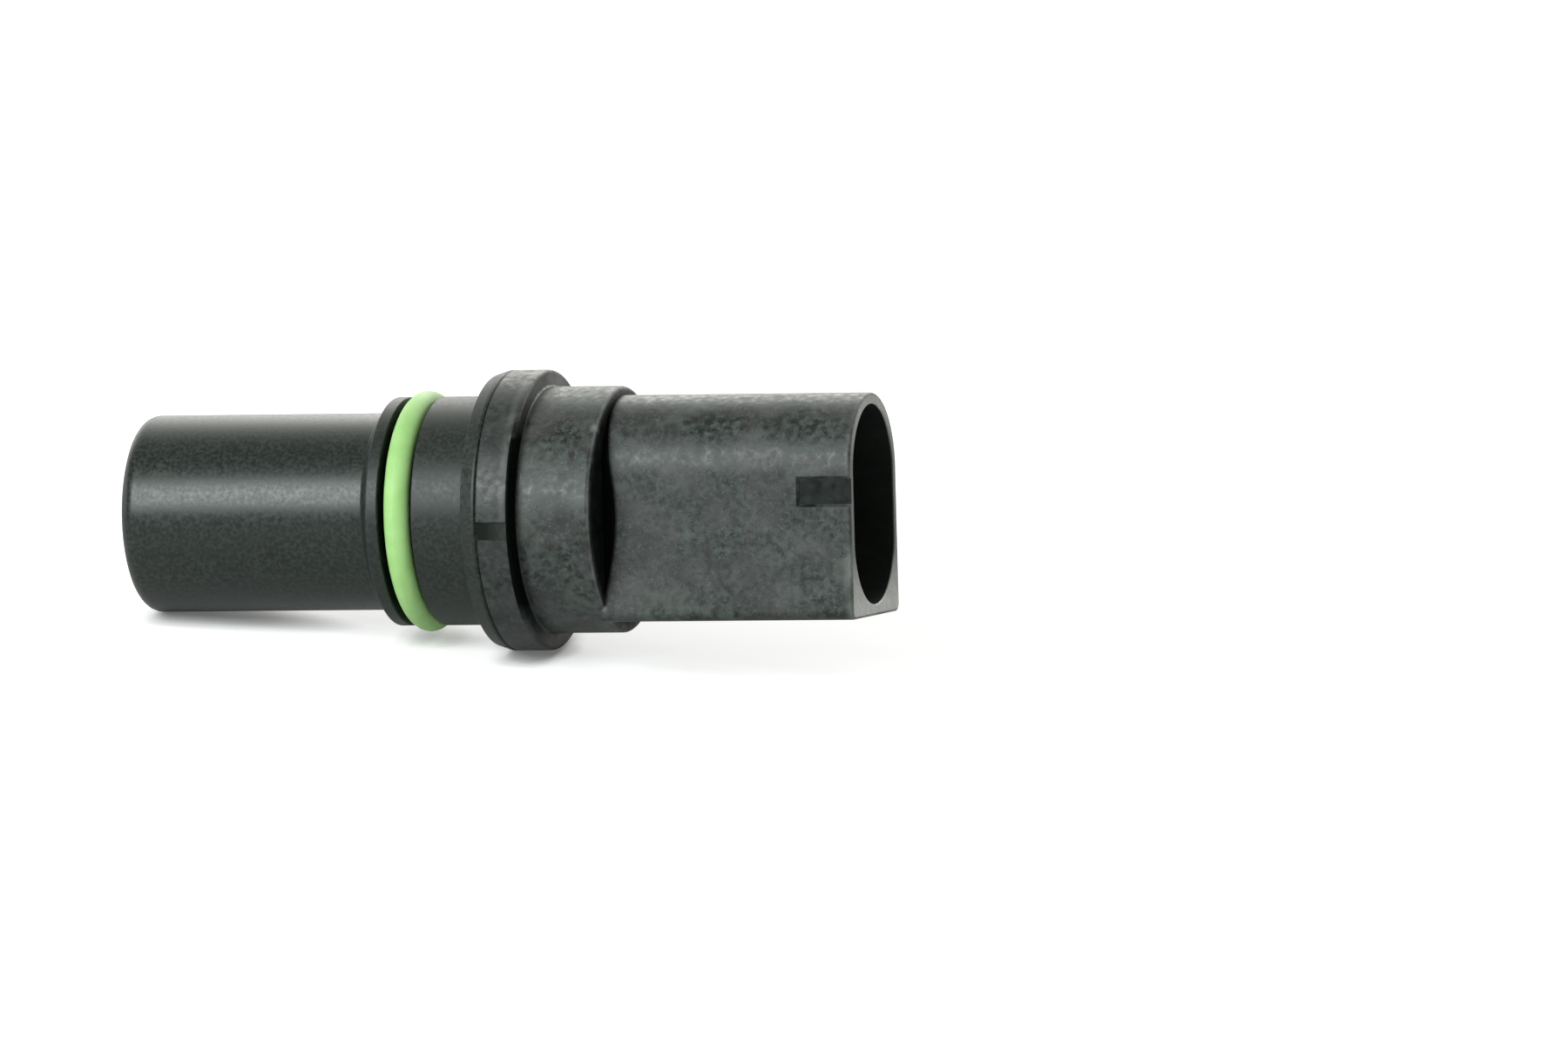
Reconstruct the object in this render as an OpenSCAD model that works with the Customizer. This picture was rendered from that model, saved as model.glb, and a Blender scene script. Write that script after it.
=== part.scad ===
// Push-in crankshaft position sensor, two-wire inductive type.
// The axis of the sensor is X, with the tip at -X and the connector at +X.
// The origin is the centre of the flange's seating face, and the square side of the connector faces -Z.

/* [Barrel] */
// Outer diameter of the smooth barrel
barrel_d = 18; // [17:0.1:19.5]
// Length from the tip to the flange's seating face
barrel_l = 34; // [32:0.5:60]
// Rounding of the tip's outer edge
tip_round = 1.3; // [0.3:0.1:2]
// Thickness of the closed end wall
tip_wall = 0.8; // [0.5:0.1:1.6]

/* [Seal] */
// Outer diameter of the fitted O-ring
ring_od = 22; // [21.8:0.1:23]
// Section diameter of the O-ring
ring_section = 2.4; // [2:0.1:2.6]
// How far the O-ring stands above the pilot land that fits the engine's bore
ring_proud = 0.55; // [0.2:0.05:0.8]
// Pilot land between the groove and the flange
pilot_l = 5.4; // [4:0.1:8]
// Wall between the floor of the groove and the bore that takes the coil
groove_wall = 1.08; // [0.8:0.02:1.3]
// Room along the axis between the O-ring and the two sides of its groove, taken together
groove_room = 0.8; // [0.4:0.1:1.5]
// Land in front of the groove
front_land_l = 1.1; // [0.6:0.1:3]
// Axial length of the lead-in chamfer
lead_in_l = 0.9; // [0.4:0.1:2]
// How far the ring lies from the middle of its groove, towards the flange
ring_shift = 0.1; // [0:0.05:0.15]

/* [Flange and collar] */
// Diameter of the flange
flange_d = 25.6; // [24:0.1:32]
// Width of the flange's front part, on the barrel moulding
shoulder_w = 1.55; // [1:0.05:4]
// Width of the flange's rear part, on the connector moulding
rim_w = 3.35; // [3.2:0.05:6]
// Length of the gate mark on the flange's near side
gate_l = 2.65; // [1:0.05:3]
// Height of the gate mark
gate_h = 1.5; // [0.5:0.1:3]
// Depth of the gate mark, from the outermost line of the flange
gate_depth = 0.2; // [0.05:0.05:0.5]
// Height of the gate mark's middle above the axis
gate_z = -1.25; // [-3:0.05:3]
// Distance from the joint line to the gate mark
gate_gap = 0.2; // [0.15:0.05:0.4]
// How far the slope on the flange's front edge goes in
shoulder_drop = 0.4; // [0.1:0.05:0.8]
// Straight part between that slope and the bevel of the joint line
shoulder_land = 0.2; // [0.1:0.05:0.5]
// Bevel on each side of the joint line
joint_bevel = 0.15; // [0.05:0.05:0.4]
// Bevel of the flange's rear edge
rim_bevel = 0.3; // [0.05:0.05:0.4]
// Diameter of the collar
collar_d = 22.5; // [21.5:0.1:24]
// Length of the collar
collar_l = 7; // [4:0.1:14]
// Rounding of the collar's rear edge
collar_round = 0.4; // [0.1:0.1:1]

/* [Connector] */
// Length of the shroud, from the collar to the mouth
shroud_l = 23.6; // [20:0.1:40]
// Width across the two flat sides, which the round top spans
shroud_w = 14.2; // [12:0.1:16]
// Height of the round top above the axis
crown = 10.4; // [9.6:0.1:10.8]
// Distance from the axis to the flat base
base_drop = 9.9; // [9:0.1:10.4]
// Rounding of the two base corners
base_round = 0.8; // [0.2:0.1:1.5]
// Wall of the shroud
shroud_wall = 1.05; // [0.8:0.05:1.6]
// Depth of the cavity, from the mouth
cavity_l = 16; // [13:0.5:18]
// Length of the keyway in the near flat side, from the mouth
key_l = 4.9; // [3:0.1:10]
// Width of the keyway
key_w = 2.3; // [1:0.1:4]
// Depth of the keyway
key_depth = 0.35; // [0.1:0.05:0.5]
// Height of the keyway's middle above the axis
key_z = 1.8; // [-3:0.1:3]

/* [Coil] */
// Thickness of the coil former's two cheeks
cheek_t = 1; // [0.6:0.1:1.6]
// Length of the winding
coil_l = 17; // [10:0.5:19]
// How far the cheeks stand above the tape round the winding
cheek_proud = 0.43; // [0.1:0.01:1]
// Thickness of the tape round the winding
wrap_t = 0.2; // [0.1:0.05:0.25]
// Diameter of the pole pin
pin_d = 4; // [3:0.1:6]
// Wall of the former's core tube
core_wall = 0.9; // [0.6:0.1:1.2]
// Length of the magnet
magnet_l = 6; // [5:0.1:7.5]
// Wall of the magnet pocket
pocket_wall = 1.3; // [0.8:0.1:1.7]
// Room round the magnet pocket for the terminals' tails
tail_room = 2.15; // [2:0.05:2.6]
// Thickness of the flux disc
disc_t = 1; // [0.6:0.1:2]
// Thickness of the terminal carrier
carrier_l = 5; // [4.4:0.1:6.5]

/* [Terminals] */
// Width of a tab
tab_w = 2.8; // [1.5:0.1:3.6]
// Thickness of the terminals' sheet
sheet_t = 0.8; // [0.5:0.1:1]
// Distance between the two tabs
tab_pitch = 6; // [5:0.1:7]
// Length of a tab inside the cavity
tab_l = 10; // [6:0.5:12.5]
// Length of the lead-in point of a tab
tab_point = 1; // [0.5:0.1:2]
// Width of a tail
tail_w = 1; // [0.6:0.1:1.2]
// Length of a tail in front of the carrier
tail_l = 4.8; // [3:0.1:6]
// Width of the bar that joins a tail to its tab
bar_w = 2; // [1:0.1:3]
// Diameter of a coil end
lead_d = 0.4; // [0.2:0.05:0.6]
// Room on each side of a coil end in the former's notch
notch_room = 0.3; // [0.1:0.05:0.5]
// Diameter of a solder bead
solder_d = 1.6; // [1.5:0.05:1.75]
// Length of a solder bead
solder_l = 1.8; // [1.2:0.1:2.6]

/* [Fits] */
// Radial room between a turned or moulded piece and the bore that it slides into
slide_fit = 0.05; // [0.02:0.01:0.1]
// Radial room between the coil former's cheeks and the bore
former_fit = 0.1; // [0.05:0.01:0.2]
// Room round a piece that is moulded, wound or soldered in place
moulded_fit = 0.02; // [0.01:0.01:0.05]

/* [Hidden] */
$fn = 96;
// Cuts run this far past the faces that they open
past = 1;

// Stations along the axis, outside
tip_x = -barrel_l;
groove_back = -pilot_l;
groove_front = groove_back - ring_section - groove_room;
land_front = groove_front - front_land_l;
lead_in_front = land_front - lead_in_l;
joint_x = shoulder_w;
flange_back = joint_x + rim_w;
collar_back = flange_back + collar_l;
mouth_x = collar_back + shroud_l;
cavity_floor = mouth_x - cavity_l;

// Stations along the axis, inside, stacked from the tip's end wall
former_front = tip_x + tip_wall;
coil_front = former_front + cheek_t;
coil_back = coil_front + coil_l;
magnet_front = coil_back + cheek_t;
magnet_back = magnet_front + magnet_l;
carrier_front = magnet_back + disc_t;
carrier_back = carrier_front + carrier_l;
bar_x = (carrier_front + carrier_back) / 2;
tail_front = carrier_front - tail_l;
tab_end = cavity_floor + tab_l;

// Radii outside
barrel_r = barrel_d / 2;
land_r = ring_od / 2 - ring_proud;
groove_r = ring_od / 2 - ring_section - moulded_fit;
flange_r = flange_d / 2;
collar_r = collar_d / 2;

// Radii inside, worked inwards from the groove
bore_r = groove_r - groove_wall;
cheek_r = bore_r - former_fit;
wrap_r = cheek_r - cheek_proud;
coil_r = wrap_r - wrap_t - moulded_fit;
core_r = pin_d / 2 + slide_fit + core_wall;
pocket_r = bore_r - tail_room;
magnet_r = pocket_r - pocket_wall - slide_fit;

// The round top is a half circle on the flat sides, and the cavity keeps an even wall inside it
arch_r = shroud_w / 2;
arch_z = crown - arch_r;
cavity_r = arch_r - shroud_wall;
cavity_low_z = cavity_r + shroud_wall - base_drop;

// Heights of the tabs, and of the tails in the space round the magnet pocket
tab_z = tab_pitch / 2;
tail_z = bore_r - tail_room / 2;
notch_w = lead_d + 2 * notch_room;

// Turns a profile, drawn as radius and station, about the sensor's axis
module turned() {
    rotate([0, 90, 0]) rotate_extrude() children();
}

// Extrudes a section, drawn across and up, from one station to another
module along(from, to) {
    translate([from, 0, 0]) rotate([90, 0, 90]) linear_extrude(to - from) children();
}

// A straight round bar along the axis
module bar(r, from, to) {
    translate([from, 0, 0]) rotate([0, 90, 0]) cylinder(r = r, h = to - from);
}

// Profile of a cylinder whose front outer edge is rounded
module round_front(r, from, to, edge) {
    translate([0, from + edge]) square([r, to - from - edge]);
    translate([0, from]) square([r - edge, edge]);
    translate([r - edge, from + edge]) circle(edge);
}

// Profile of a cylinder whose rear outer edge is rounded
module round_back(r, from, to, edge) {
    translate([0, from]) square([r, to - from - edge]);
    translate([0, to - edge]) square([r - edge, edge]);
    translate([r - edge, to - edge]) circle(edge);
}

// Profile of a cylinder with a bevel on its front and its rear edge
module bevelled(r, from, to, front, back) {
    polygon([[0, from], [r - front, from], [r, from + front], [r, to - back], [r - back, to], [0, to]]);
}

// Right half of a profile, so that rounded corners never cross the axis
module outer_half() {
    intersection() {
        children();
        translate([0, tip_x - past]) square([flange_r + past, mouth_x - tip_x + 2 * past]);
    }
}

module barrel_cup() {
    color("#33352f") difference() {
        turned() outer_half() difference() {
            union() {
                round_front(barrel_r, tip_x, lead_in_front, tip_round);
                polygon([[0, lead_in_front], [barrel_r, lead_in_front], [land_r, land_front], [0, land_front]]);
                translate([0, land_front]) square([land_r, -land_front]);
                polygon([[0, 0], [flange_r - shoulder_drop, 0], [flange_r, joint_x - joint_bevel - shoulder_land],
                    [flange_r, joint_x - joint_bevel], [flange_r - joint_bevel, joint_x], [0, joint_x]]);
            }
            translate([groove_r, groove_front]) square([land_r, groove_back - groove_front]);
        }
        bar(bore_r, former_front, joint_x + past);
    }
}

// Section of the connector's outside: a round top over two flat sides and a square base
module shroud_section() {
    low = base_round - base_drop;
    translate([-arch_r, low]) square([shroud_w, arch_z - low]);
    translate([base_round - arch_r, -base_drop]) square([shroud_w - 2 * base_round, base_drop]);
    for (side = [-1, 1]) translate([side * (arch_r - base_round), low]) circle(base_round);
    translate([0, arch_z]) circle(arch_r);
}

// Section of the cavity: two flat sides with a round end above and below
module cavity_section() {
    translate([-cavity_r, cavity_low_z]) square([2 * cavity_r, arch_z - cavity_low_z]);
    for (end_z = [cavity_low_z, arch_z]) translate([0, end_z]) circle(cavity_r);
}

// Outline of the upper terminal, drawn along the axis and up: tail, joining bar and pointed tab
module terminal_outline(grow) {
    low = tab_z - tab_w / 2;
    high = tab_z + tab_w / 2;
    translate([tail_front - grow, tail_z - tail_w / 2 - grow])
        square([bar_x - tail_front + 2 * grow, tail_w + 2 * grow]);
    translate([bar_x - bar_w / 2 - grow, low - grow])
        square([bar_w + 2 * grow, tail_z + tail_w / 2 - low + 2 * grow]);
    polygon([[bar_x, low - grow], [tab_end - tab_point, low - grow], [tab_end, tab_z - tab_w / 4],
        [tab_end, tab_z + tab_w / 4], [tab_end - tab_point, high + grow], [bar_x, high + grow]]);
}

// The upper terminal, or the pocket that it fills when it is grown
module terminal(grow = 0) {
    rotate([90, 0, 0]) translate([0, 0, -sheet_t / 2 - grow])
        linear_extrude(sheet_t + 2 * grow) terminal_outline(grow);
}

module both_terminals(grow) {
    terminal(grow);
    mirror([0, 0, 1]) terminal(grow);
}

module connector_body() {
    color("#3a3b35") difference() {
        union() {
            bar(bore_r - slide_fit, carrier_back, joint_x + past);
            turned() bevelled(flange_r, joint_x, flange_back, joint_bevel, rim_bevel);
            turned() outer_half() round_back(collar_r, flange_back - past, collar_back, collar_round);
            along(collar_back - collar_round, mouth_x) shroud_section();
        }
        along(cavity_floor, mouth_x + past) cavity_section();
        both_terminals(moulded_fit);
        translate([mouth_x - key_l, -shroud_w / 2 - past, key_z - key_w / 2])
            cube([key_l + past, key_depth + past, key_w]);
        translate([joint_x + gate_gap, -flange_r - past, gate_z - gate_h / 2])
            cube([gate_l, gate_depth + past, gate_h]);
    }
}

module o_ring() {
    middle = (groove_front + groove_back) / 2 + ring_shift;
    color("#a9e58c") turned() translate([ring_od / 2 - ring_section / 2, middle]) circle(ring_section / 2);
}

module bobbin() {
    color("#c9c6b8") difference() {
        union() {
            bar(cheek_r, former_front, coil_front);
            bar(core_r, former_front, magnet_front);
            bar(cheek_r, coil_back, magnet_front);
            bar(pocket_r, coil_back, carrier_front);
        }
        bar(pin_d / 2 + slide_fit, former_front - past, magnet_front + past);
        bar(magnet_r + slide_fit, magnet_front, carrier_front + past);
        for (side = [-1, 1]) translate([coil_back - past, -notch_w / 2, side > 0 ? tail_z - notch_w / 2 : -bore_r])
            cube([cheek_t + 2 * past, notch_w, bore_r - tail_z + notch_w / 2]);
    }
}

module winding() {
    color("#b4653a") difference() {
        bar(coil_r, coil_front, coil_back);
        bar(core_r + moulded_fit, coil_front - past, coil_back + past);
    }
}

module coil_wrap() {
    color("#d9b24a") difference() {
        bar(wrap_r, coil_front, coil_back);
        bar(wrap_r - wrap_t, coil_front - past, coil_back + past);
    }
}

module pole_pin() {
    color("#8d9094") bar(pin_d / 2, former_front, magnet_front);
}

module magnet() {
    color("#55585c") bar(magnet_r, magnet_front, magnet_back);
}

module flux_disc() {
    color("#9a9da1") bar(magnet_r, magnet_back, carrier_front);
}

module terminal_carrier() {
    color("#4a4a48") difference() {
        bar(bore_r - slide_fit, carrier_front, carrier_back);
        both_terminals(moulded_fit);
    }
}

module terminal_upper() {
    color("#c8c4b4") terminal();
}

module terminal_lower() {
    color("#c8c4b4") mirror([0, 0, 1]) terminal();
}

// The upper coil end, from the winding to the front of the upper tail
module coil_end() {
    translate([0, 0, tail_z]) bar(lead_d / 2, coil_back, tail_front);
}

module lead_upper() {
    color("#c0763f") coil_end();
}

module lead_lower() {
    color("#c0763f") mirror([0, 0, 1]) coil_end();
}

// The upper solder bead: a short bulging bead round the end of the tail and the coil end
module bead() {
    bulge_r = solder_l;
    difference() {
        translate([0, 0, tail_z]) turned() intersection() {
            translate([solder_d / 2 - bulge_r, tail_front]) circle(bulge_r);
            translate([0, tail_front - solder_l / 2]) square([solder_d, solder_l]);
        }
        translate([0, 0, tail_z]) bar(lead_d / 2 + moulded_fit, tail_front - solder_l, tail_front + past);
        terminal(moulded_fit);
    }
}

module solder_upper() {
    color("#b8bcc0") bead();
}

module solder_lower() {
    color("#b8bcc0") mirror([0, 0, 1]) bead();
}

barrel_cup();
connector_body();
o_ring();
bobbin();
winding();
coil_wrap();
pole_pin();
magnet();
flux_disc();
terminal_carrier();
terminal_upper();
terminal_lower();
lead_upper();
lead_lower();
solder_upper();
solder_lower();
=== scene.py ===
# Push-in crankshaft position sensor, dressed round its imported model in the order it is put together:
# the coil and its magnet, the terminals, the barrel that takes them, the O-ring, and the connector.
from math import atan2, cos, pi, radians, sin, tan, tau

import bmesh
import bpy
from mathutils import Matrix, Vector


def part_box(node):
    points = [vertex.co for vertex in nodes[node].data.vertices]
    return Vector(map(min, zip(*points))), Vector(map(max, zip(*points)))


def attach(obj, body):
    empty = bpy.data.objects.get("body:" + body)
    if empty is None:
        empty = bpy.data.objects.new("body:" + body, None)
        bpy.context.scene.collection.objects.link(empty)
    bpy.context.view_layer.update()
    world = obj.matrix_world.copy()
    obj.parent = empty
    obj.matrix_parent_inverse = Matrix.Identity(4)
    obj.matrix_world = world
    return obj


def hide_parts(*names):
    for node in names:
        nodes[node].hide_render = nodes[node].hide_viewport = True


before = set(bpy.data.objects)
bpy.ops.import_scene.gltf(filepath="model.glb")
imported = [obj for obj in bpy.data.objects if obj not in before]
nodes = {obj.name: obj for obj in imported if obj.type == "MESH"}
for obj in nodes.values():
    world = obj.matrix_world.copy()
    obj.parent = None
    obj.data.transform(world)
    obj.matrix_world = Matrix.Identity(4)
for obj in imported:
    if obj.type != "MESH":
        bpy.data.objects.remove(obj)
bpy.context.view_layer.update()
scene = bpy.context.scene
scene.view_settings.view_transform = "Standard"


# Pole pin and flux disc: soft iron, turned from bar, pushed into the coil former at each end of the
# magnet. The finish keeps the fine rings that the lathe tool leaves.
MM = 0.001


def new_finish(name, **shader):
    """A material, with shader sockets set by their names, where _ stands for a space."""
    finish = bpy.data.materials.new(name)
    finish.use_nodes = True
    for socket, value in shader.items():
        shader_of(finish).inputs[socket.replace("_", " ")].default_value = value
    return finish


def shader_of(finish):
    return finish.node_tree.nodes["Principled BSDF"]


def add(finish, kind, inputs, **settings):
    """A new node, with each input linked to a socket or set to a value."""
    node = finish.node_tree.nodes.new("ShaderNode" + kind)
    for name, value in settings.items():
        setattr(node, name, value)
    for name, value in inputs.items():
        if isinstance(value, bpy.types.NodeSocket):
            finish.node_tree.links.new(value, node.inputs[name])
        else:
            node.inputs[name].default_value = value
    return node


def drive(finish, socket, source):
    finish.node_tree.links.new(source, shader_of(finish).inputs[socket])


def grain(finish, size, stretch=(1, 1, 1), detail=4, seed=0, distortion=0):
    """Noise whose spots are about `size` metres across, drawn out along an axis where stretch is below 1."""
    place = add(finish, "TexCoord", {}).outputs["Object"]
    moved = add(finish, "Mapping", {"Vector": place, "Scale": stretch, "Location": (seed, seed, seed)})
    noise = {"Vector": moved.outputs["Vector"], "Scale": 1 / size, "Detail": detail, "Distortion": distortion}
    return add(finish, "TexNoise", noise).outputs["Fac"]


def between(finish, source, low, high, start=0.3, end=0.7):
    """A number that goes from low to high as the source goes from start to end."""
    span = {"Value": source, "From Min": start, "From Max": end, "To Min": low, "To Max": high}
    return add(finish, "MapRange", span).outputs["Result"]


def tint(finish, source, low, high, start=0.3, end=0.7):
    """A colour that goes from low to high as the source goes from start to end."""
    ramp = add(finish, "ValToRGB", {"Fac": source})
    ramp.color_ramp.elements[0].position = start
    ramp.color_ramp.elements[1].position = end
    ramp.color_ramp.elements[0].color = (*low, 1)
    ramp.color_ramp.elements[1].color = (*high, 1)
    return ramp.outputs["Color"]


def relief(finish, height, depth, strength=1.0):
    return add(finish, "Bump", {"Height": height, "Distance": depth, "Strength": strength}).outputs["Normal"]


turned_iron = new_finish("turned_soft_iron", Metallic=1.0)
tool_rings = grain(turned_iron, 0.12 * MM, stretch=(1, 0.01, 0.01), detail=2)
iron_clouds = grain(turned_iron, 2 * MM, seed=3)
drive(turned_iron, "Base Color", tint(turned_iron, iron_clouds, (0.36, 0.36, 0.37), (0.50, 0.50, 0.49)))
drive(turned_iron, "Roughness", between(turned_iron, tool_rings, 0.28, 0.45))
drive(turned_iron, "Normal", relief(turned_iron, tool_rings, 0.004 * MM))


def dress(finish, *names):
    """Gives a finish to CAD nodes whose own shape is right."""
    for name in names:
        nodes[name].data.materials.clear()
        nodes[name].data.materials.append(finish)


dress(turned_iron, "pole_pin", "flux_disc")


# Coil former: a spool of natural, unfilled nylon, moulded with a cheek at each end and a pocket behind
# the rear cheek for the magnet. It stands on the barrel's end wall.
natural_nylon = new_finish("natural_nylon", Subsurface_Weight=0.15, Subsurface_Scale=0.5 * MM, IOR=1.53)
nylon_clouds = grain(natural_nylon, 3 * MM, detail=6)
nylon_tone = tint(natural_nylon, nylon_clouds, (0.60, 0.56, 0.45), (0.72, 0.69, 0.58))
drive(natural_nylon, "Base Color", nylon_tone)
drive(natural_nylon, "Roughness", between(natural_nylon, grain(natural_nylon, 0.5 * MM), 0.35, 0.5))
drive(natural_nylon, "Normal", relief(natural_nylon, grain(natural_nylon, 0.2 * MM, seed=5), 0.005 * MM))
dress(natural_nylon, "bobbin")


# Winding and its two ends: enamelled copper wire, wound in layers on the former. The finish shows the
# single turns side by side under a thin coat of lacquer. A wave texture has 20 radians to a unit of scale.
WIRE_PITCH = 0.16 * MM
WAVE_RATE = 20
enamelled_copper = new_finish("enamelled_copper", Metallic=1.0, Coat_Weight=0.6, Coat_Roughness=0.12)
wire_place = add(enamelled_copper, "TexCoord", {}).outputs["Object"]
turns = {"Vector": wire_place, "Scale": tau / (WAVE_RATE * WIRE_PITCH), "Distortion": 0.4, "Detail Scale": 40}
wire_turns = add(enamelled_copper, "TexWave", turns, bands_direction="X").outputs["Fac"]
copper_clouds = grain(enamelled_copper, 1.5 * MM, seed=2)
copper_tone = tint(enamelled_copper, copper_clouds, (0.45, 0.15, 0.06), (0.62, 0.25, 0.11))
drive(enamelled_copper, "Base Color", copper_tone)
drive(enamelled_copper, "Roughness", between(enamelled_copper, copper_clouds, 0.25, 0.38))
drive(enamelled_copper, "Normal", relief(enamelled_copper, wire_turns, 0.03 * MM))
dress(enamelled_copper, "winding", "lead_upper", "lead_lower")


# Tape round the winding: amber polyester film, lapped round the coil to keep the turns in place.
# Each lap shows as a faint step.
LAP_PITCH = 5 * MM
amber_film = new_finish("amber_film", Coat_Weight=0.3, Coat_Roughness=0.2, IOR=1.6)
film_place = add(amber_film, "TexCoord", {}).outputs["Object"]
laps = {"Vector": film_place, "Scale": tau / (WAVE_RATE * LAP_PITCH)}
film_laps = add(amber_film, "TexWave", laps, bands_direction="X", wave_profile="SAW").outputs["Fac"]
film_creases = grain(amber_film, 1.2 * MM, stretch=(0.3, 1, 1), seed=7)
drive(amber_film, "Base Color", tint(amber_film, film_creases, (0.42, 0.20, 0.03), (0.58, 0.33, 0.07)))
drive(amber_film, "Roughness", between(amber_film, film_creases, 0.22, 0.36))
drive(amber_film, "Normal", relief(amber_film, film_laps, 0.04 * MM))
dress(amber_film, "coil_wrap")


# Magnet: a sintered rod, ground round and dropped into the former's pocket between the pole pin and
# the disc. The ground skin is dull, with darker pores.
sintered_magnet = new_finish("sintered_magnet", Metallic=0.8)
magnet_pores = grain(sintered_magnet, 0.25 * MM, detail=6)
magnet_tone = tint(sintered_magnet, magnet_pores, (0.10, 0.10, 0.11), (0.24, 0.24, 0.25))
drive(sintered_magnet, "Base Color", magnet_tone)
drive(sintered_magnet, "Roughness", between(sintered_magnet, magnet_pores, 0.6, 0.42))
drive(sintered_magnet, "Normal", relief(sintered_magnet, magnet_pores, 0.01 * MM))
dress(sintered_magnet, "magnet")


# Terminals: two brass strips, stamped, tin plated and moulded into the connector. A tab of each stands
# in the plug cavity, and the stamped edges are broken by a small bevel.
TAB_EDGE = 0.1 * MM
WELD_REACH = 0.001 * MM
tin_plate = new_finish("tin_plate", Metallic=1.0)
draw_lines = grain(tin_plate, 0.15 * MM, stretch=(0.05, 1, 1), detail=3)
tin_clouds = grain(tin_plate, 1.4 * MM, seed=4)
drive(tin_plate, "Base Color", tint(tin_plate, tin_clouds, (0.62, 0.59, 0.52), (0.76, 0.74, 0.69)))
drive(tin_plate, "Roughness", between(tin_plate, draw_lines, 0.24, 0.42))
drive(tin_plate, "Normal", relief(tin_plate, draw_lines, 0.004 * MM))
dress(tin_plate, "terminal_upper", "terminal_lower")


def break_edges(piece, width, angle=40):
    """Joins the faces at their shared corners, and bevels the edges that turn by more than the angle."""
    piece.modifiers.new("joined faces", "WELD").merge_threshold = WELD_REACH
    bevel = piece.modifiers.new("broken edges", "BEVEL")
    bevel.width = width
    bevel.segments = 2
    bevel.limit_method = "ANGLE"
    bevel.angle_limit = radians(angle)


for name in ("terminal_upper", "terminal_lower"):
    break_edges(nodes[name], TAB_EDGE)


# Terminal carrier and solder: a dark moulded disc holds the two strips behind the magnet, and each coil
# end is soldered to a strip's tail with one bright bead.
dark_carrier = new_finish("dark_carrier", IOR=1.5)
carrier_fibre = grain(dark_carrier, 0.4 * MM, detail=5)
carrier_tone = tint(dark_carrier, carrier_fibre, (0.020, 0.020, 0.019), (0.050, 0.050, 0.048))
drive(dark_carrier, "Base Color", carrier_tone)
drive(dark_carrier, "Roughness", between(dark_carrier, carrier_fibre, 0.5, 0.65))
drive(dark_carrier, "Normal", relief(dark_carrier, carrier_fibre, 0.006 * MM))
dress(dark_carrier, "terminal_carrier")

bright_solder = new_finish("bright_solder", Metallic=1.0)
solder_frost = grain(bright_solder, 0.3 * MM, detail=5)
solder_tone = tint(bright_solder, solder_frost, (0.58, 0.59, 0.61), (0.76, 0.77, 0.79))
drive(bright_solder, "Base Color", solder_tone)
drive(bright_solder, "Roughness", between(bright_solder, solder_frost, 0.15, 0.4))
drive(bright_solder, "Normal", relief(bright_solder, solder_frost, 0.01 * MM))
dress(bright_solder, "solder_upper", "solder_lower")


# Barrel: a closed cup of black plastic in one moulding with the seal groove and the flange's front
# part. Its polished mould leaves a smooth satin skin, so that it slides into the engine block.
BARREL_R = 9 * MM
TIP_ROUND = 1.3 * MM
LAND_R = 10.45 * MM
LEAD_IN_FRONT = -10.6 * MM
LAND_FRONT = -9.7 * MM
GROOVE_FRONT = -8.6 * MM
GROOVE_BACK = -5.4 * MM
GROOVE_R = 8.58 * MM
SHOULDER_DROP = 0.4 * MM
SHOULDER_LAND = 0.2 * MM
JOINT_BEVEL = 0.15 * MM
BORE_R = 7.5 * MM
SMALL_EDGE = 0.12 * MM
ROOT = 0.2 * MM
HOLD = 0.06 * MM
AXIS_R = 1e-7
SHARP = radians(35)
cup_low, cup_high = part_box("barrel_cup")
tip_x, joint_x, flange_r = cup_low.x, cup_high.x, cup_high.z
bore_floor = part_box("bobbin")[0].x


def eased(corners, arc_steps=6):
    """Rounds the corners (x, r, rounding) of an outline, with a point that holds the flat on each side."""
    points = []
    for index, (x, r, rounding) in enumerate(corners):
        corner = Vector((x, r))
        if not rounding:
            points.append(corner)
            continue
        back = (Vector(corners[index - 1][:2]) - corner).normalized()
        ahead = (Vector(corners[(index + 1) % len(corners)][:2]) - corner).normalized()
        half = back.angle(ahead) / 2
        reach = rounding / tan(half)
        centre = corner + (back + ahead).normalized() * rounding / sin(half)
        first, last = corner + back * reach - centre, corner + ahead * reach - centre
        start = atan2(first.y, first.x)
        sweep = (atan2(last.y, last.x) - start + pi) % tau - pi
        points.append(corner + back * (reach + HOLD))
        for step in range(arc_steps + 1):
            turn = start + sweep * step / arc_steps
            points.append(centre + rounding * Vector((cos(turn), sin(turn))))
        points.append(corner + ahead * (reach + HOLD))
    return points


def turned(name, outline, segments=192, closed=False):
    """Turns an outline of (x, r) points about the sensor's axis."""
    shape = bmesh.new()
    rings = []
    for x, r in outline:
        count = segments if r > AXIS_R else 1
        angles = [tau * k / count for k in range(count)]
        rings.append([shape.verts.new((x, r * cos(angle), r * sin(angle))) for angle in angles])
    pairs = list(zip(rings, rings[1:]))
    if closed:
        pairs.append((rings[-1], rings[0]))
    for one, other in pairs:
        for k in range(segments):
            corners = []
            for ring, place in ((one, k), (one, k + 1), (other, k + 1), (other, k)):
                vertex = ring[place % len(ring)]
                if vertex not in corners:
                    corners.append(vertex)
            shape.faces.new(corners)
    return finished(name, shape)


def finished(name, shape):
    """Makes a smooth-shaded object of a bmesh, with its sharp edges marked."""
    bmesh.ops.recalc_face_normals(shape, faces=shape.faces)
    mesh = bpy.data.meshes.new(name)
    shape.to_mesh(mesh)
    shape.free()
    mesh.shade_smooth()
    mesh.set_sharp_from_angle(angle=SHARP)
    piece = bpy.data.objects.new(name, mesh)
    scene.collection.objects.link(piece)
    return piece


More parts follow.
